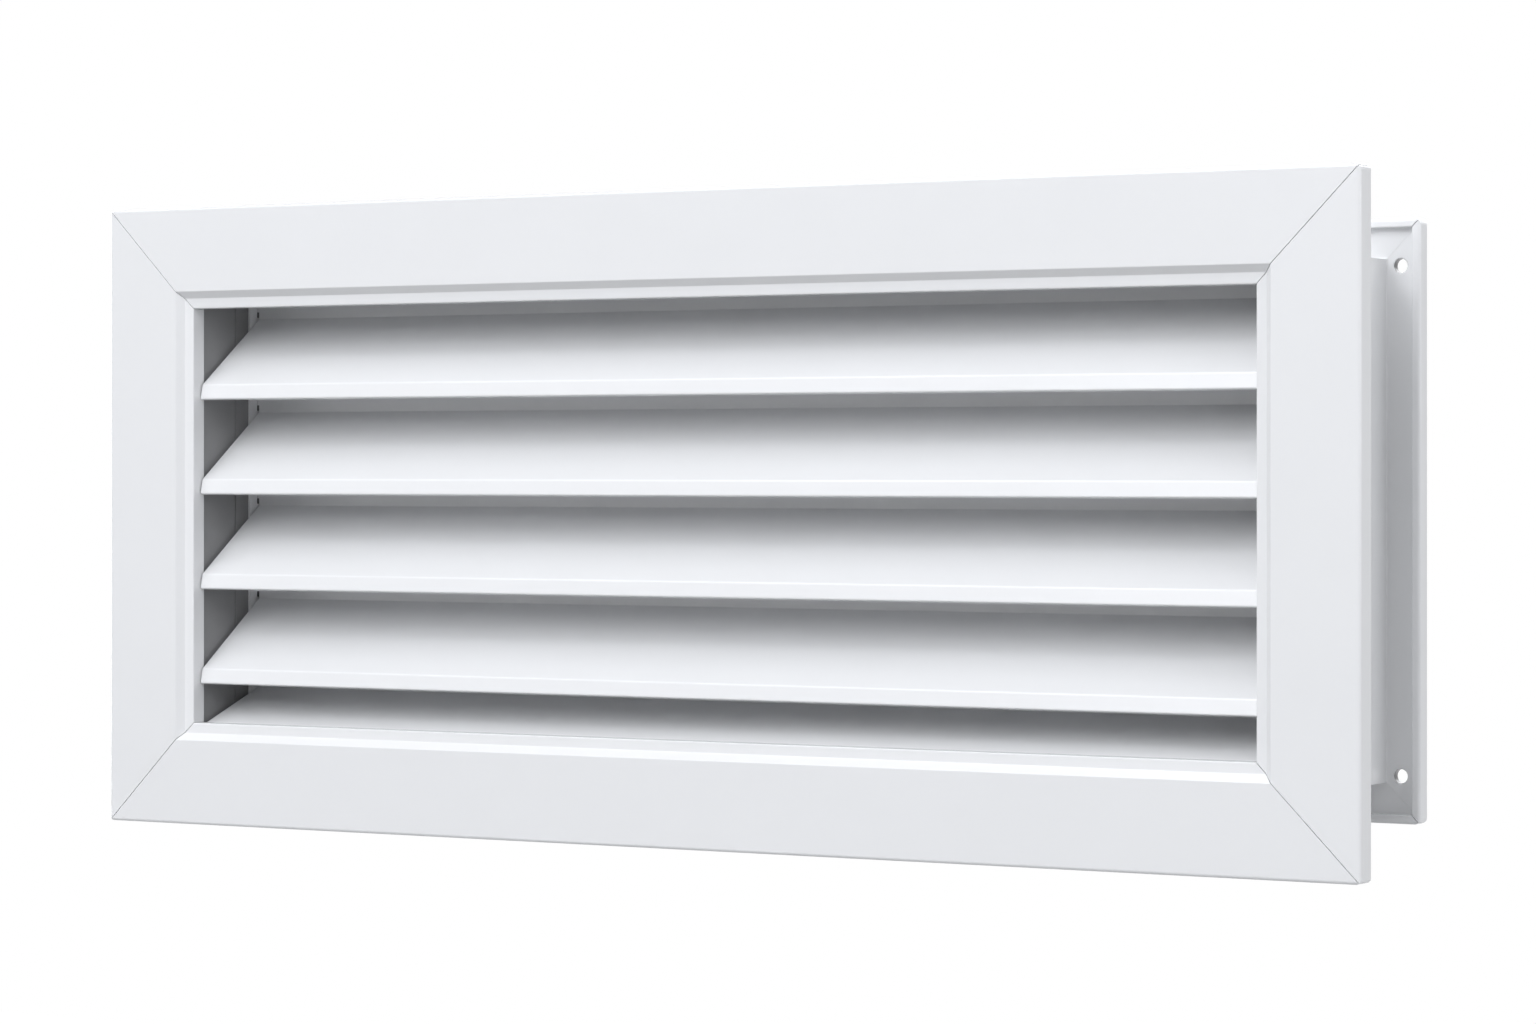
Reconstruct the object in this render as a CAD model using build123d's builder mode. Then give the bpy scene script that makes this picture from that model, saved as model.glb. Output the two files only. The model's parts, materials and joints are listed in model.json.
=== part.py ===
from build123d import *
import os

# Louvred transfer grille for a door leaf, in powder-coated aluminium extrusions.
# A mitred front frame holds two blade rails with fixed sight-proof blades between them.
# A mitred counter-frame slides over the front frame's spigot from behind, with the leaf between the two flanges.
# Millimetres, origin at the middle of the vent: X runs across it, Y from front to back, Z up.

# Overall size
frame_width = 400.0
frame_height = 180.0
frame_depth = 67.0

# Front frame section
face_width = 24.5
bevel_width = 2.0
bevel_depth = 2.0
land_width = 3.0
land_fall = 0.2
front_wall = 1.6
edge_depth = 6.9
edge_round = 0.9
edge_back_round = 0.4
face_round = 0.5
return_depth = 7.3
return_round = 0.4

# Spigot that the counter-frame's collar slides over, and the groove inside it for the blade rails
spigot_wall = 1.5
spigot_depth = 27.6
spigot_overlap = 13.6
collar_clearance = 0.3
groove_rib = 1.0
groove_clearance = 0.3

# Hooks behind the face that hold the corner keys
hook_inset = 4.0
hook_wall = 1.2
hook_toe = 1.5
key_thickness = 2.4
key_leg = 46.0
key_clearance = 0.2
key_round = 2.0

# Mitres: the front's gap shows as a hairline, the counter-frame's only on its lip
front_mitre_gap = 0.2
rear_mitre_gap = 0.04
lip_mitre_gap = 0.25

# Outer corners of the two frames, dressed after mitring
front_corner_round = 1.5
rear_corner_round = 2.0

# Blade rails, and the stay that runs up the middle of each
rail_setback = 0.7
rail_wall = 1.5
rail_leg = 4.3
rail_clearance = 0.1
stay_thickness = 0.6
stay_width = 9.0
score_offset = 10.7
score_width = 0.6
score_depth = 0.5

# Blades
blade_count = 4
blade_wall = 1.4
blade_end_gap = 0.5
lip_setback = 5.0
lip_height = 4.2
lip_lean = 0.9
lip_round = 0.9
foot_round = 0.4
blade_rise = 24.6
first_ridge_drop = 1.8
last_lip_height = 11.5
stem_height = 7.5
tenon_rise = 1.6
tenon_height = 3.2
tenon_proud = 0.8
tenon_clearance = 0.3
slot_drop = 1.3

# Sill blade
sill_rise = 9.6
sill_step = 0.2

# Counter-frame section
rear_wall = 2.4
rear_flange = 10.6
rear_lip_depth = 5.0
rear_lip_round = 0.9
rear_lip_ease = 0.4
rear_back_round = 0.5
collar_wall = 1.6
collar_fillet = 0.6
rear_return_depth = 7.3
rear_hook_wall = 1.0
rear_hook_toe = 1.2
rear_key_thickness = 3.0
rear_key_leg = 30.0

# Screw holes in the counter-frame's stiles
screw_hole_radius = 1.9
screw_hole_ease = 0.25
screw_ease_angle = 90.0
screw_side_inset = 6.6
screw_end_inset = 12.4

# Planes and sizes that follow
front_y = -frame_depth / 2
back_y = frame_depth / 2
front_half = (frame_width / 2, frame_height / 2)
face_total = face_width + bevel_width + land_width
opening_half = tuple(half - face_total for half in front_half)

# Walls counted outwards from the opening, the same for the width and the height
web_out = rail_setback
rail_out = web_out + rail_leg
spigot_inside = rail_out + rail_clearance
spigot_outside = spigot_inside + spigot_wall
collar_inside = spigot_outside + collar_clearance
collar_outside = collar_inside + collar_wall
rear_out = collar_outside + rear_flange
rear_half = tuple(half + rear_out for half in opening_half)

# The rail's legs and the sill's aprons stand behind the returns
seat_front = front_y + return_depth + groove_clearance
seat_back = back_y - rear_return_depth - groove_clearance
groove_back = return_depth + rail_wall + 2 * groove_clearance
rail_half_height = opening_half[1] + spigot_inside - groove_rib - groove_clearance

# Blade places
web = opening_half[0] + web_out
blade_half_length = web - stay_thickness - blade_end_gap
tenon_end = web + rail_wall + tenon_proud
first_ridge = opening_half[1] - first_ridge_drop
last_ridge = -opening_half[1] + last_lip_height + blade_rise
blade_pitch = (first_ridge - last_ridge) / (blade_count - 1)
ridges = [first_ridge - blade_pitch * number for number in range(blade_count)]
sill_ridge = -opening_half[1] + sill_rise
tenon_centre = tenon_rise + tenon_height / 2
slot_centre = tenon_centre - slot_drop / 2
slot_height = tenon_height + 2 * tenon_clearance + slot_drop

SIDES = ("top_rail", "bottom_rail", "left_stile", "right_stile")
CORNERS = {"top_left": (-1, 1), "top_right": (1, 1), "bottom_left": (-1, -1), "bottom_right": (1, -1)}


def side_frame(side, half_sizes):
    """The middle of a frame's outer edge, the way inwards from it, its length's direction and half length."""
    half_width, half_height = half_sizes
    return {
        "top_rail": (Vector(0, front_y, half_height), Vector(0, 0, -1), Vector(1, 0, 0), half_width),
        "bottom_rail": (Vector(0, front_y, -half_height), Vector(0, 0, 1), Vector(-1, 0, 0), half_width),
        "left_stile": (Vector(-half_width, front_y, 0), Vector(1, 0, 0), Vector(0, 0, 1), half_height),
        "right_stile": (Vector(half_width, front_y, 0), Vector(-1, 0, 0), Vector(0, 0, -1), half_height),
    }[side]


def corner(sketch, inset, depth):
    """The corner of a section that lies nearest to a point."""
    return sketch.vertices().sort_by_distance((inset, depth))[0]


def wall_between(inset_from, inset_to, depth_from, depth_to):
    """A straight wall of a section, from corner to corner."""
    with Locations((inset_from, depth_from)):
        Rectangle(inset_to - inset_from, depth_to - depth_from, align=(Align.MIN, Align.MIN))


def mitre_ends(side, half_sizes, reach, gap):
    """Cuts both ends of a frame length at 45 degrees, half the gap short of the corner."""
    origin, inwards, along, half_length = side_frame(side, half_sizes)
    end = half_length - gap / 2 * 2**0.5
    with BuildSketch(Plane(origin=origin, x_dir=inwards, z_dir=(0, 1, 0))) as outline:
        with BuildLine():
            Polyline((0, end), (reach, end - reach), (reach, reach - end), (0, -end), close=True)
        make_face()
    extrude(outline.sketch, amount=frame_depth, mode=Mode.INTERSECT)


def dress_corners(half_sizes, radius):
    """Rounds a mitred frame's outer corners on the length being built."""
    with BuildSketch(Plane.XZ.offset(-back_y)) as outline:
        RectangleRounded(2 * half_sizes[0], 2 * half_sizes[1], radius)
    extrude(outline.sketch, amount=frame_depth, mode=Mode.INTERSECT)


def front_member(side):
    """A length of the front extrusion: local x is the inset from the outer edge, local y the depth."""
    origin, inwards, along, half_length = side_frame(side, front_half)
    land_start = (face_width + bevel_width, bevel_depth)
    land_end = (face_total, bevel_depth + land_fall)
    spigot = face_total - spigot_outside
    hook_foot = front_wall + key_thickness + 2 * key_clearance
    with BuildPart() as member:
        with BuildSketch(Plane(origin=origin, x_dir=inwards, z_dir=along)) as section:
            with BuildLine():
                skin = Polyline(
                    (0, edge_depth), (0, 0), (face_width, 0), land_start, land_end, (face_total, return_depth)
                )
                offset(skin, amount=front_wall, side=Side.LEFT, kind=Kind.INTERSECTION)
            make_face()
            fillet(corner(section, 0, 0), edge_round)
            fillet(corner(section, 0, edge_depth), edge_back_round)
            fillet([corner(section, face_width, 0), corner(section, *land_start)], face_round)
            fillet([corner(section, *land_end), corner(section, face_total, return_depth)], return_round)
            wall_between(spigot, spigot + spigot_wall, front_wall / 2, spigot_depth)
            wall_between(spigot + spigot_wall, spigot + spigot_wall + groove_rib, groove_back, groove_back + groove_rib)
            wall_between(hook_inset, hook_inset + hook_wall, front_wall / 2, hook_foot + hook_wall)
            wall_between(hook_inset, hook_inset + hook_wall + hook_toe, hook_foot, hook_foot + hook_wall)
            wall_between(spigot - hook_toe, spigot, hook_foot, hook_foot + hook_wall)
        extrude(amount=half_length, both=True)
        mitre_ends(side, front_half, face_total + front_wall, front_mitre_gap)
        dress_corners(front_half, front_corner_round)
    return member


def open_lip_mitres(side):
    """Opens the mitres of the counter-frame's lip to the hairline that shows there."""
    origin, inwards, along, half_length = side_frame(side, rear_half)
    end = half_length - lip_mitre_gap / 2 * 2**0.5
    lip_plane = Plane(origin=origin, x_dir=inwards, z_dir=(0, 1, 0)).offset(frame_depth - rear_lip_depth)
    with BuildSketch(lip_plane) as strips:
        for sign in (-1, 1):
            with BuildLine():
                Polyline(
                    (0, sign * end),
                    (rear_wall, sign * (end - rear_wall)),
                    (rear_wall, sign * (half_length - rear_wall)),
                    (0, sign * half_length),
                    close=True,
                )
            make_face()
    extrude(strips.sketch, amount=rear_lip_depth - rear_wall, mode=Mode.SUBTRACT)


def rear_member(side):
    """A length of the counter-frame's extrusion, with the screw holes where it is a stile."""
    origin, inwards, along, half_length = side_frame(side, rear_half)
    lip_front = frame_depth - rear_lip_depth
    return_front = frame_depth - rear_return_depth
    floor = frame_depth - rear_wall
    collar = rear_out - collar_outside
    collar_front = spigot_depth - spigot_overlap
    hook_front = floor - rear_key_thickness - 2 * key_clearance - rear_hook_wall
    with BuildPart() as member:
        with BuildSketch(Plane(origin=origin, x_dir=inwards, z_dir=along)) as section:
            with BuildLine():
                skin = Polyline(
                    (0, lip_front), (0, frame_depth), (rear_out, frame_depth), (rear_out, return_front)
                )
                offset(skin, amount=rear_wall, side=Side.RIGHT, kind=Kind.INTERSECTION)
            make_face()
            fillet(corner(section, 0, frame_depth), rear_back_round)
            fillet(corner(section, 0, lip_front), rear_lip_round)
            fillet(corner(section, rear_wall, lip_front), rear_lip_ease)
            fillet([corner(section, rear_out, frame_depth), corner(section, rear_out, return_front)], return_round)
            wall_between(collar, collar + collar_wall, collar_front, floor + rear_wall / 2)
            fillet(corner(section, collar, floor), collar_fillet)
            hook = collar + collar_wall
            wall_between(hook, hook + rear_hook_toe, hook_front, hook_front + rear_hook_wall)
        extrude(amount=half_length, both=True)
        mitre_ends(side, rear_half, rear_out + rear_wall, rear_mitre_gap)
        open_lip_mitres(side)
        dress_corners(rear_half, rear_corner_round)
        if side.endswith("stile"):
            hole_plane = Plane(origin=origin + inwards * screw_side_inset, x_dir=along, z_dir=(0, -1, 0))
            with Locations(hole_plane.offset(-floor)):
                with GridLocations(2 * (half_length - screw_end_inset), 0, 2, 1):
                    CounterSinkHole(
                        screw_hole_radius,
                        screw_hole_radius + screw_hole_ease,
                        rear_wall,
                        counter_sink_angle=screw_ease_angle,
                    )
    return member


def corner_key(signs, outer, width, leg, back, thickness):
    """A flat L key: outer is its outside corner, width the width of its legs, back the plane it lies against."""
    across, up = signs
    far_x, far_z = outer
    outline = (
        (far_x, far_z),
        (far_x - leg, far_z),
        (far_x - leg, far_z - width),
        (far_x - width, far_z - width),
        (far_x - width, far_z - leg),
        (far_x, far_z - leg),
    )
    with BuildPart() as key:
        with BuildSketch(Plane.XZ.offset(-back)) as section:
            with BuildLine():
                Polyline(*[(across * x, up * z) for x, z in outline], close=True)
            make_face()
            fillet(corner(section, across * far_x, up * far_z), key_round)
        extrude(amount=thickness)
    return key


def cut_tenon_slots(face, depth):
    """Cuts one slot a blade from a face outwards, with room under the tenon to enter it."""
    with BuildSketch(Plane.YZ.offset(face)) as slots:
        with Locations(*[(0, ridge + slot_centre) for ridge in ridges + [sill_ridge]]):
            Rectangle(blade_wall + 2 * tenon_clearance, slot_height)
    extrude(slots.sketch, amount=depth, mode=Mode.SUBTRACT)


def blade_stay():
    """The right stay: a flat strip up the middle of the rail's web, with the rail's slots."""
    with BuildPart() as stay:
        with Locations((web - stay_thickness / 2, 0, 0)):
            Box(stay_thickness, stay_width, 2 * rail_half_height)
        cut_tenon_slots(web - stay_thickness, stay_thickness)
    return stay


def blade_rail():
    """The right blade rail: a channel open outwards, with score lines and one slot a blade in its web."""
    leg_end = opening_half[0] + rail_out
    with BuildPart() as rail:
        with BuildSketch(Plane.XY) as section:
            with BuildLine():
                skin = Polyline((leg_end, seat_front), (web, seat_front), (web, seat_back), (leg_end, seat_back))
                offset(skin, amount=rail_wall, side=Side.RIGHT, kind=Kind.INTERSECTION)
            make_face()
            for score in (-score_offset, score_offset):
                with BuildLine():
                    Polyline(
                        (web, score - score_width / 2),
                        (web + score_depth, score),
                        (web, score + score_width / 2),
                        close=True,
                    )
                make_face(mode=Mode.SUBTRACT)
        extrude(amount=rail_half_height, both=True)
        cut_tenon_slots(web, rail_wall)
    return rail


def louvre(foot, edge, ridge):
    """An inverted-Y blade: foot, edge and ridge are its front leg's corners, as depth and height."""
    with BuildPart() as blade:
        with BuildSketch(Plane.YZ) as section:
            with BuildLine():
                leg = Polyline(foot, edge, (0, ridge))
                offset(leg, amount=blade_wall, side=Side.RIGHT, kind=Kind.INTERSECTION)
            make_face()
            fillet(corner(section, *edge), lip_round)
            fillet(corner(section, *foot), foot_round)
            mirror(about=Plane.YZ)
            with Locations((0, ridge - blade_wall)):
                Rectangle(blade_wall, blade_wall + stem_height, align=(Align.CENTER, Align.MIN))
        extrude(amount=blade_half_length, both=True)
        with BuildSketch(Plane.YZ):
            with Locations((0, ridge + tenon_centre)):
                Rectangle(blade_wall, tenon_height)
        extrude(amount=tenon_end, both=True)
    return blade


def save(piece, name):
    """Names a finished piece and writes its file."""
    piece.part.label = name
    export_step(piece.part, f"parts/{name}.step")


os.makedirs("parts", exist_ok=True)

# The two mitred frames
for side in SIDES:
    save(front_member(side), f"front_{side}")
    save(rear_member(side), f"rear_{side}")

# Corner keys of both frames
front_key_inset = hook_inset + hook_wall + key_clearance
front_key_width = face_total - spigot_outside - key_clearance - front_key_inset
front_key_corner = tuple(half - front_key_inset for half in front_half)
front_key_back = front_y + front_wall + key_clearance + key_thickness
rear_key_corner = tuple(half + collar_inside - key_clearance for half in opening_half)
rear_key_width = collar_inside - rear_wall - 2 * key_clearance
rear_key_back = back_y - rear_wall - key_clearance
for place, signs in CORNERS.items():
    front_key = corner_key(signs, front_key_corner, front_key_width, key_leg, front_key_back, key_thickness)
    save(front_key, f"front_key_{place}")
    rear_key = corner_key(signs, rear_key_corner, rear_key_width, rear_key_leg, rear_key_back, rear_key_thickness)
    save(rear_key, f"rear_key_{place}")

# Blade rails and their stays
for name, right_piece in (("blade_rail", blade_rail()), ("blade_stay", blade_stay())):
    with BuildPart() as left_piece:
        mirror(right_piece.part, about=Plane.YZ)
    save(right_piece, f"right_{name}")
    save(left_piece, f"left_{name}")

# Blades, from the top down
lip_face = front_y + lip_setback
for number, ridge in enumerate(ridges, start=1):
    lip_foot = ridge - blade_rise
    blade = louvre((lip_face, lip_foot), (lip_face + lip_lean, lip_foot + lip_height), ridge)
    save(blade, f"blade_{number}")

# Sill blade, whose aprons stand on the spigot behind the returns
apron_foot = -opening_half[1] - spigot_inside + groove_clearance
apron_head = -opening_half[1] - sill_step
sill = louvre((seat_front, apron_foot), (seat_front, apron_head), sill_ridge)
save(sill, "sill_blade")
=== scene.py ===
import json
import math

import bpy
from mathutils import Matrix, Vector

# Louvred transfer grille in white powder-coated aluminium, floating in a white studio.
# Metres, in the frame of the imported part: X across the vent, Y from front to back, Z up.

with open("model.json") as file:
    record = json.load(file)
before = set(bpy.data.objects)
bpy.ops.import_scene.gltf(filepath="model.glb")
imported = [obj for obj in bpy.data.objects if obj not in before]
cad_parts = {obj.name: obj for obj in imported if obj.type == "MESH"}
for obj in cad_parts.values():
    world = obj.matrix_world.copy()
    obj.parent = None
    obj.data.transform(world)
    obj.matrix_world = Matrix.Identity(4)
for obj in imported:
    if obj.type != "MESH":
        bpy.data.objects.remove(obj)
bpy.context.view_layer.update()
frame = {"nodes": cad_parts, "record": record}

# Photograph's frame, in pixels, and the camera that was fitted to the mitred face
PHOTO_WIDTH = 1536
PHOTO_FOCAL = 4500.0
PHOTO_CENTRE_ROW = 512.0
PHOTO_HORIZON_ROW = 467.8
SENSOR_WIDTH = 36.0
CAMERA_PLACE = (0.6566, -1.0672, 0.0140)
CAMERA_TURN = (math.radians(90.0), 0.0, math.radians(31.33))

# Softboxes: bearing from +X and rise in degrees, width and height in metres, radiance
STUDIO_REACH = 2.2
SOFTBOXES = {
    "front_softbox": (-90.0, 21.0, 1.6, 0.75, 5.2),
    "front_high_softbox": (-90.0, 38.0, 1.6, 0.75, 3.3),
    "front_right_softbox": (-50.0, 40.0, 1.5, 0.8, 1.9),
    "left_softbox": (-130.0, 52.0, 1.1, 1.8, 3.3),
    "right_softbox": (8.0, 15.0, 3.2, 1.2, 2.4),
    "back_softbox": (98.0, 28.0, 2.2, 1.6, 2.0),
    "left_side_softbox": (160.0, 16.0, 1.4, 1.7, 3.0),
}
LAMP_TINT = (0.986, 1.0, 1.029)
AMBIENT = 0.02

# Floor, which is white at its rim and keeps the vent's shadow in the middle
WHITE = (1.0, 1.0, 1.0, 1.0)
FLOOR_LEVEL = -0.55
FLOOR_HALF = 2.5
FLOOR_GREY = 0.38
FLOOR_ROUGHNESS = 0.9
FLOOR_LIT = 0.4
FLOOR_FADE = (0.7, 1.8)

# White powder coat
COAT_WHITE = (0.808, 0.812, 0.820)
COAT_SHADE = (0.788, 0.792, 0.800)
COAT_ROUGHNESS = (0.19, 0.25)
COAT_SPECULAR = 0.5
MOTTLE = {"Scale": 35.0, "Detail": 3.0, "Roughness": 0.55}
PEEL = {"Scale": 700.0, "Detail": 2.0, "Roughness": 0.5}
PEEL_BUMP = {"Strength": 0.1, "Distance": 0.00002}

# Walls of the screw holes, painted dark grey as the shade inside the holes
BORE_SHADE_PAINT = (0.2, 0.2, 0.205)
BORE_MARGIN = 0.00005
BACK_HALF = 0.0
METRES_PER_MM = 0.001

# Dark grey coat of the blade rails: painted shade for the deep side walls of the louvre
RAIL_SHADE_PAINT_LIGHT = (0.26, 0.26, 0.263)
RAIL_SHADE_PAINT_DARK = (0.24, 0.24, 0.243)
RAIL_ROUGHNESS = (0.5, 0.62)
RAIL_SPECULAR = 0.3

# Mill-finish aluminium of the corner keys
MILL_GREY = (0.62, 0.63, 0.64)
MILL_ROUGHNESS = (0.3, 0.45)
DRAW_LINES = {"Scale": 90.0, "Detail": 4.0}
DRAW_STRETCH = (1.0, 1.0, 30.0)


def shader(name):
    """A new node material, its tree and its principled shader."""
    material = bpy.data.materials.new(name)
    material.use_nodes = True
    return material, material.node_tree, material.node_tree.nodes["Principled BSDF"]


def node(tree, kind, values):
    """Adds a node and sets its inputs by name."""
    made = tree.nodes.new(kind)
    for name, value in values.items():
        made.inputs[name].default_value = value
    return made


def maths(tree, operation, *values):
    """A maths node on numbers or sockets."""
    made = tree.nodes.new("ShaderNodeMath")
    made.operation = operation
    for place, value in enumerate(values):
        if isinstance(value, float):
            made.inputs[place].default_value = value
        else:
            tree.links.new(value, made.inputs[place])
    return made.outputs["Value"]


def mix(tree, factor, low, high):
    """Goes from one colour to another by a factor. Each colour is a tuple or a socket."""
    made = tree.nodes.new("ShaderNodeMix")
    made.data_type = "RGBA"
    tree.links.new(factor, made.inputs["Factor"])
    for name, colour in (("A", low), ("B", high)):
        if isinstance(colour, tuple):
            made.inputs[name].default_value = (*colour, 1.0)
        else:
            tree.links.new(colour, made.inputs[name])
    return made.outputs["Result"]


def spread(tree, value, low, high, start=0.0, end=1.0):
    """Maps a value between start and end onto the range from low to high."""
    limits = {"From Min": start, "From Max": end, "To Min": low, "To Max": high}
    made = node(tree, "ShaderNodeMapRange", limits)
    tree.links.new(value, made.inputs["Value"])
    return made.outputs["Result"]


def object_place(tree):
    """The place of a point in the part's frame."""
    return tree.nodes.new("ShaderNodeTexCoord").outputs["Object"]


def bore_shade_mask(tree, place):
    """1 on the walls of the four screw holes in the back half, 0 elsewhere: where the shade in the holes
    is painted.
    """
    mounts = {mount["name"]: mount for mount in frame["record"]["mounts"]}
    pattern = mounts["screw_holes"]["dims"]
    radius = pattern["hole_r_mm"] * METRES_PER_MM + BORE_MARGIN
    parts = tree.nodes.new("ShaderNodeSeparateXYZ")
    tree.links.new(place, parts.inputs["Vector"])
    squares = []
    for axis, spacing in (("X", "spacing_x_mm"), ("Z", "spacing_y_mm")):
        centre = pattern[spacing] / 2 * METRES_PER_MM
        away = maths(tree, "SUBTRACT", maths(tree, "ABSOLUTE", parts.outputs[axis]), centre)
        squares.append(maths(tree, "MULTIPLY", away, away))
    inside = maths(tree, "LESS_THAN", maths(tree, "ADD", *squares), radius**2)
    behind = maths(tree, "GREATER_THAN", parts.outputs["Y"], BACK_HALF)
    return maths(tree, "MULTIPLY", inside, behind)


def coat(name, shade, light, roughness, specular, paint_bore_shade=False):
    """A cured powder coat: a faint mottle in tone and gloss, and the fine peel of the powder; on request,
    painted shade on the screw hole walls.
    """
    material, tree, paint = shader(name)
    place = object_place(tree)
    mottle = node(tree, "ShaderNodeTexNoise", MOTTLE)
    peel = node(tree, "ShaderNodeTexNoise", PEEL)
    bump = node(tree, "ShaderNodeBump", PEEL_BUMP)
    for texture in (mottle, peel):
        tree.links.new(place, texture.inputs["Vector"])
    colour = mix(tree, mottle.outputs["Fac"], shade, light)
    # Painted shade: the screw hole walls are coloured dark grey.
    if paint_bore_shade:
        colour = mix(tree, bore_shade_mask(tree, place), colour, BORE_SHADE_PAINT)
    tree.links.new(colour, paint.inputs["Base Color"])
    tree.links.new(spread(tree, mottle.outputs["Fac"], *roughness), paint.inputs["Roughness"])
    tree.links.new(peel.outputs["Fac"], bump.inputs["Height"])
    tree.links.new(bump.outputs["Normal"], paint.inputs["Normal"])
    paint.inputs["Specular IOR Level"].default_value = specular
    return material


def mill_aluminium():
    """Bare extruded aluminium with fine level draw lines."""
    material, tree, metal = shader("mill_aluminium")
    stretch = node(tree, "ShaderNodeMapping", {"Scale": DRAW_STRETCH})
    lines = node(tree, "ShaderNodeTexNoise", DRAW_LINES)
    tree.links.new(object_place(tree), stretch.inputs["Vector"])
    tree.links.new(stretch.outputs["Vector"], lines.inputs["Vector"])
    tree.links.new(spread(tree, lines.outputs["Fac"], *MILL_ROUGHNESS), metal.inputs["Roughness"])
    metal.inputs["Base Color"].default_value = (*MILL_GREY, 1.0)
    metal.inputs["Metallic"].default_value = 1.0
    return material


def dress(pieces, material):
    """Gives CAD pieces their finish."""
    for piece in pieces:
        mesh = frame["nodes"][piece].data
        mesh.materials.clear()
        mesh.materials.append(material)


def white_to_camera(tree):
    """1 on camera, glossy and transmission rays, 0 on the others."""
    path = tree.nodes.new("ShaderNodeLightPath")
    total = path.outputs["Is Camera Ray"]
    for name in ("Is Glossy Ray", "Is Transmission Ray"):
        total = maths(tree, "MAXIMUM", total, path.outputs[name])
    return total


def studio_world():
    """White to the camera and in reflections, a plain faint fill for everything else."""
    world = bpy.data.worlds.new("studio")
    world.use_nodes = True
    tree = world.node_tree
    background = tree.nodes["Background"]
    background.inputs["Color"].default_value = WHITE
    tree.links.new(spread(tree, white_to_camera(tree), AMBIENT, 1.0), background.inputs["Strength"])
    bpy.context.scene.world = world


def floor_paint():
    """Matt grey, lifted to white where it is seen and lit."""
    material, tree, paint = shader("studio_floor")
    paint.inputs["Base Color"].default_value = (FLOOR_GREY, FLOOR_GREY, FLOOR_GREY, 1.0)
    paint.inputs["Roughness"].default_value = FLOOR_ROUGHNESS
    paint.inputs["Specular IOR Level"].default_value = 0.0
    paint.inputs["Emission Color"].default_value = WHITE
    away = tree.nodes.new("ShaderNodeVectorMath")
    away.operation = "LENGTH"
    tree.links.new(object_place(tree), away.inputs[0])
    fade = spread(tree, away.outputs["Value"], 1.0 - FLOOR_LIT, 1.0, *FLOOR_FADE)
    lift = maths(tree, "MULTIPLY", fade, white_to_camera(tree))
    tree.links.new(lift, paint.inputs["Emission Strength"])
    return material


def studio_floor():
    """A plain square floor well below the vent."""
    mesh = bpy.data.meshes.new("studio_floor")
    corners = [(-1, -1), (1, -1), (1, 1), (-1, 1)]
    points = [(x * FLOOR_HALF, y * FLOOR_HALF, FLOOR_LEVEL) for x, y in corners]
    mesh.from_pydata(points, [], [(0, 1, 2, 3)])
    mesh.materials.append(floor_paint())
    floor = bpy.data.objects.new("studio_floor", mesh)
    bpy.context.scene.collection.objects.link(floor)


def softbox(name, bearing, rise, width, height, radiance):
    """A large soft lamp on the studio's dome, turned towards the vent."""
    lamp = bpy.data.lights.new(name, "AREA")
    lamp.shape = "RECTANGLE"
    lamp.size = width
    lamp.size_y = height
    lamp.color = LAMP_TINT
    lamp.energy = radiance * math.pi * width * height
    box = bpy.data.objects.new(name, lamp)
    bpy.context.scene.collection.objects.link(box)
    turn = math.radians(bearing)
    lift = math.radians(rise)
    level = math.cos(lift)
    box.location = STUDIO_REACH * Vector((level * math.cos(turn), level * math.sin(turn), math.sin(lift)))
    box.rotation_euler = (-box.location).to_track_quat("-Z", "Y").to_euler()


def photo_camera():
    """A level camera with the photograph's focal length and horizon."""
    lens = bpy.data.cameras.new("photo_camera")
    lens.sensor_fit = "HORIZONTAL"
    lens.sensor_width = SENSOR_WIDTH
    lens.lens = PHOTO_FOCAL * SENSOR_WIDTH / PHOTO_WIDTH
    lens.shift_y = (PHOTO_HORIZON_ROW - PHOTO_CENTRE_ROW) / PHOTO_WIDTH
    camera = bpy.data.objects.new("photo_camera", lens)
    bpy.context.scene.collection.objects.link(camera)
    camera.location = CAMERA_PLACE
    camera.rotation_euler = CAMERA_TURN
    bpy.context.scene.camera = camera


keys = [name for name in frame["nodes"] if "_key_" in name]
blade_rails = [name for name in frame["nodes"] if name.endswith("_blade_rail")]
white_pieces = [name for name in frame["nodes"] if name not in keys + blade_rails]
# The white coat paints shade onto the screw hole walls.
white_coat = coat(
    "white_powder_coat", COAT_SHADE, COAT_WHITE, COAT_ROUGHNESS, COAT_SPECULAR, paint_bore_shade=True
)
dress(keys, mill_aluminium())
# Painted shade: the rails' dark grey coat stands in for the shade on the deep side walls.
dress(blade_rails, coat("grey_rail_coat", RAIL_SHADE_PAINT_DARK, RAIL_SHADE_PAINT_LIGHT, RAIL_ROUGHNESS, RAIL_SPECULAR))
dress(white_pieces, white_coat)
studio_world()
studio_floor()
for name, settings in SOFTBOXES.items():
    softbox(name, *settings)
photo_camera()
bpy.context.scene.view_settings.view_transform = "Standard"
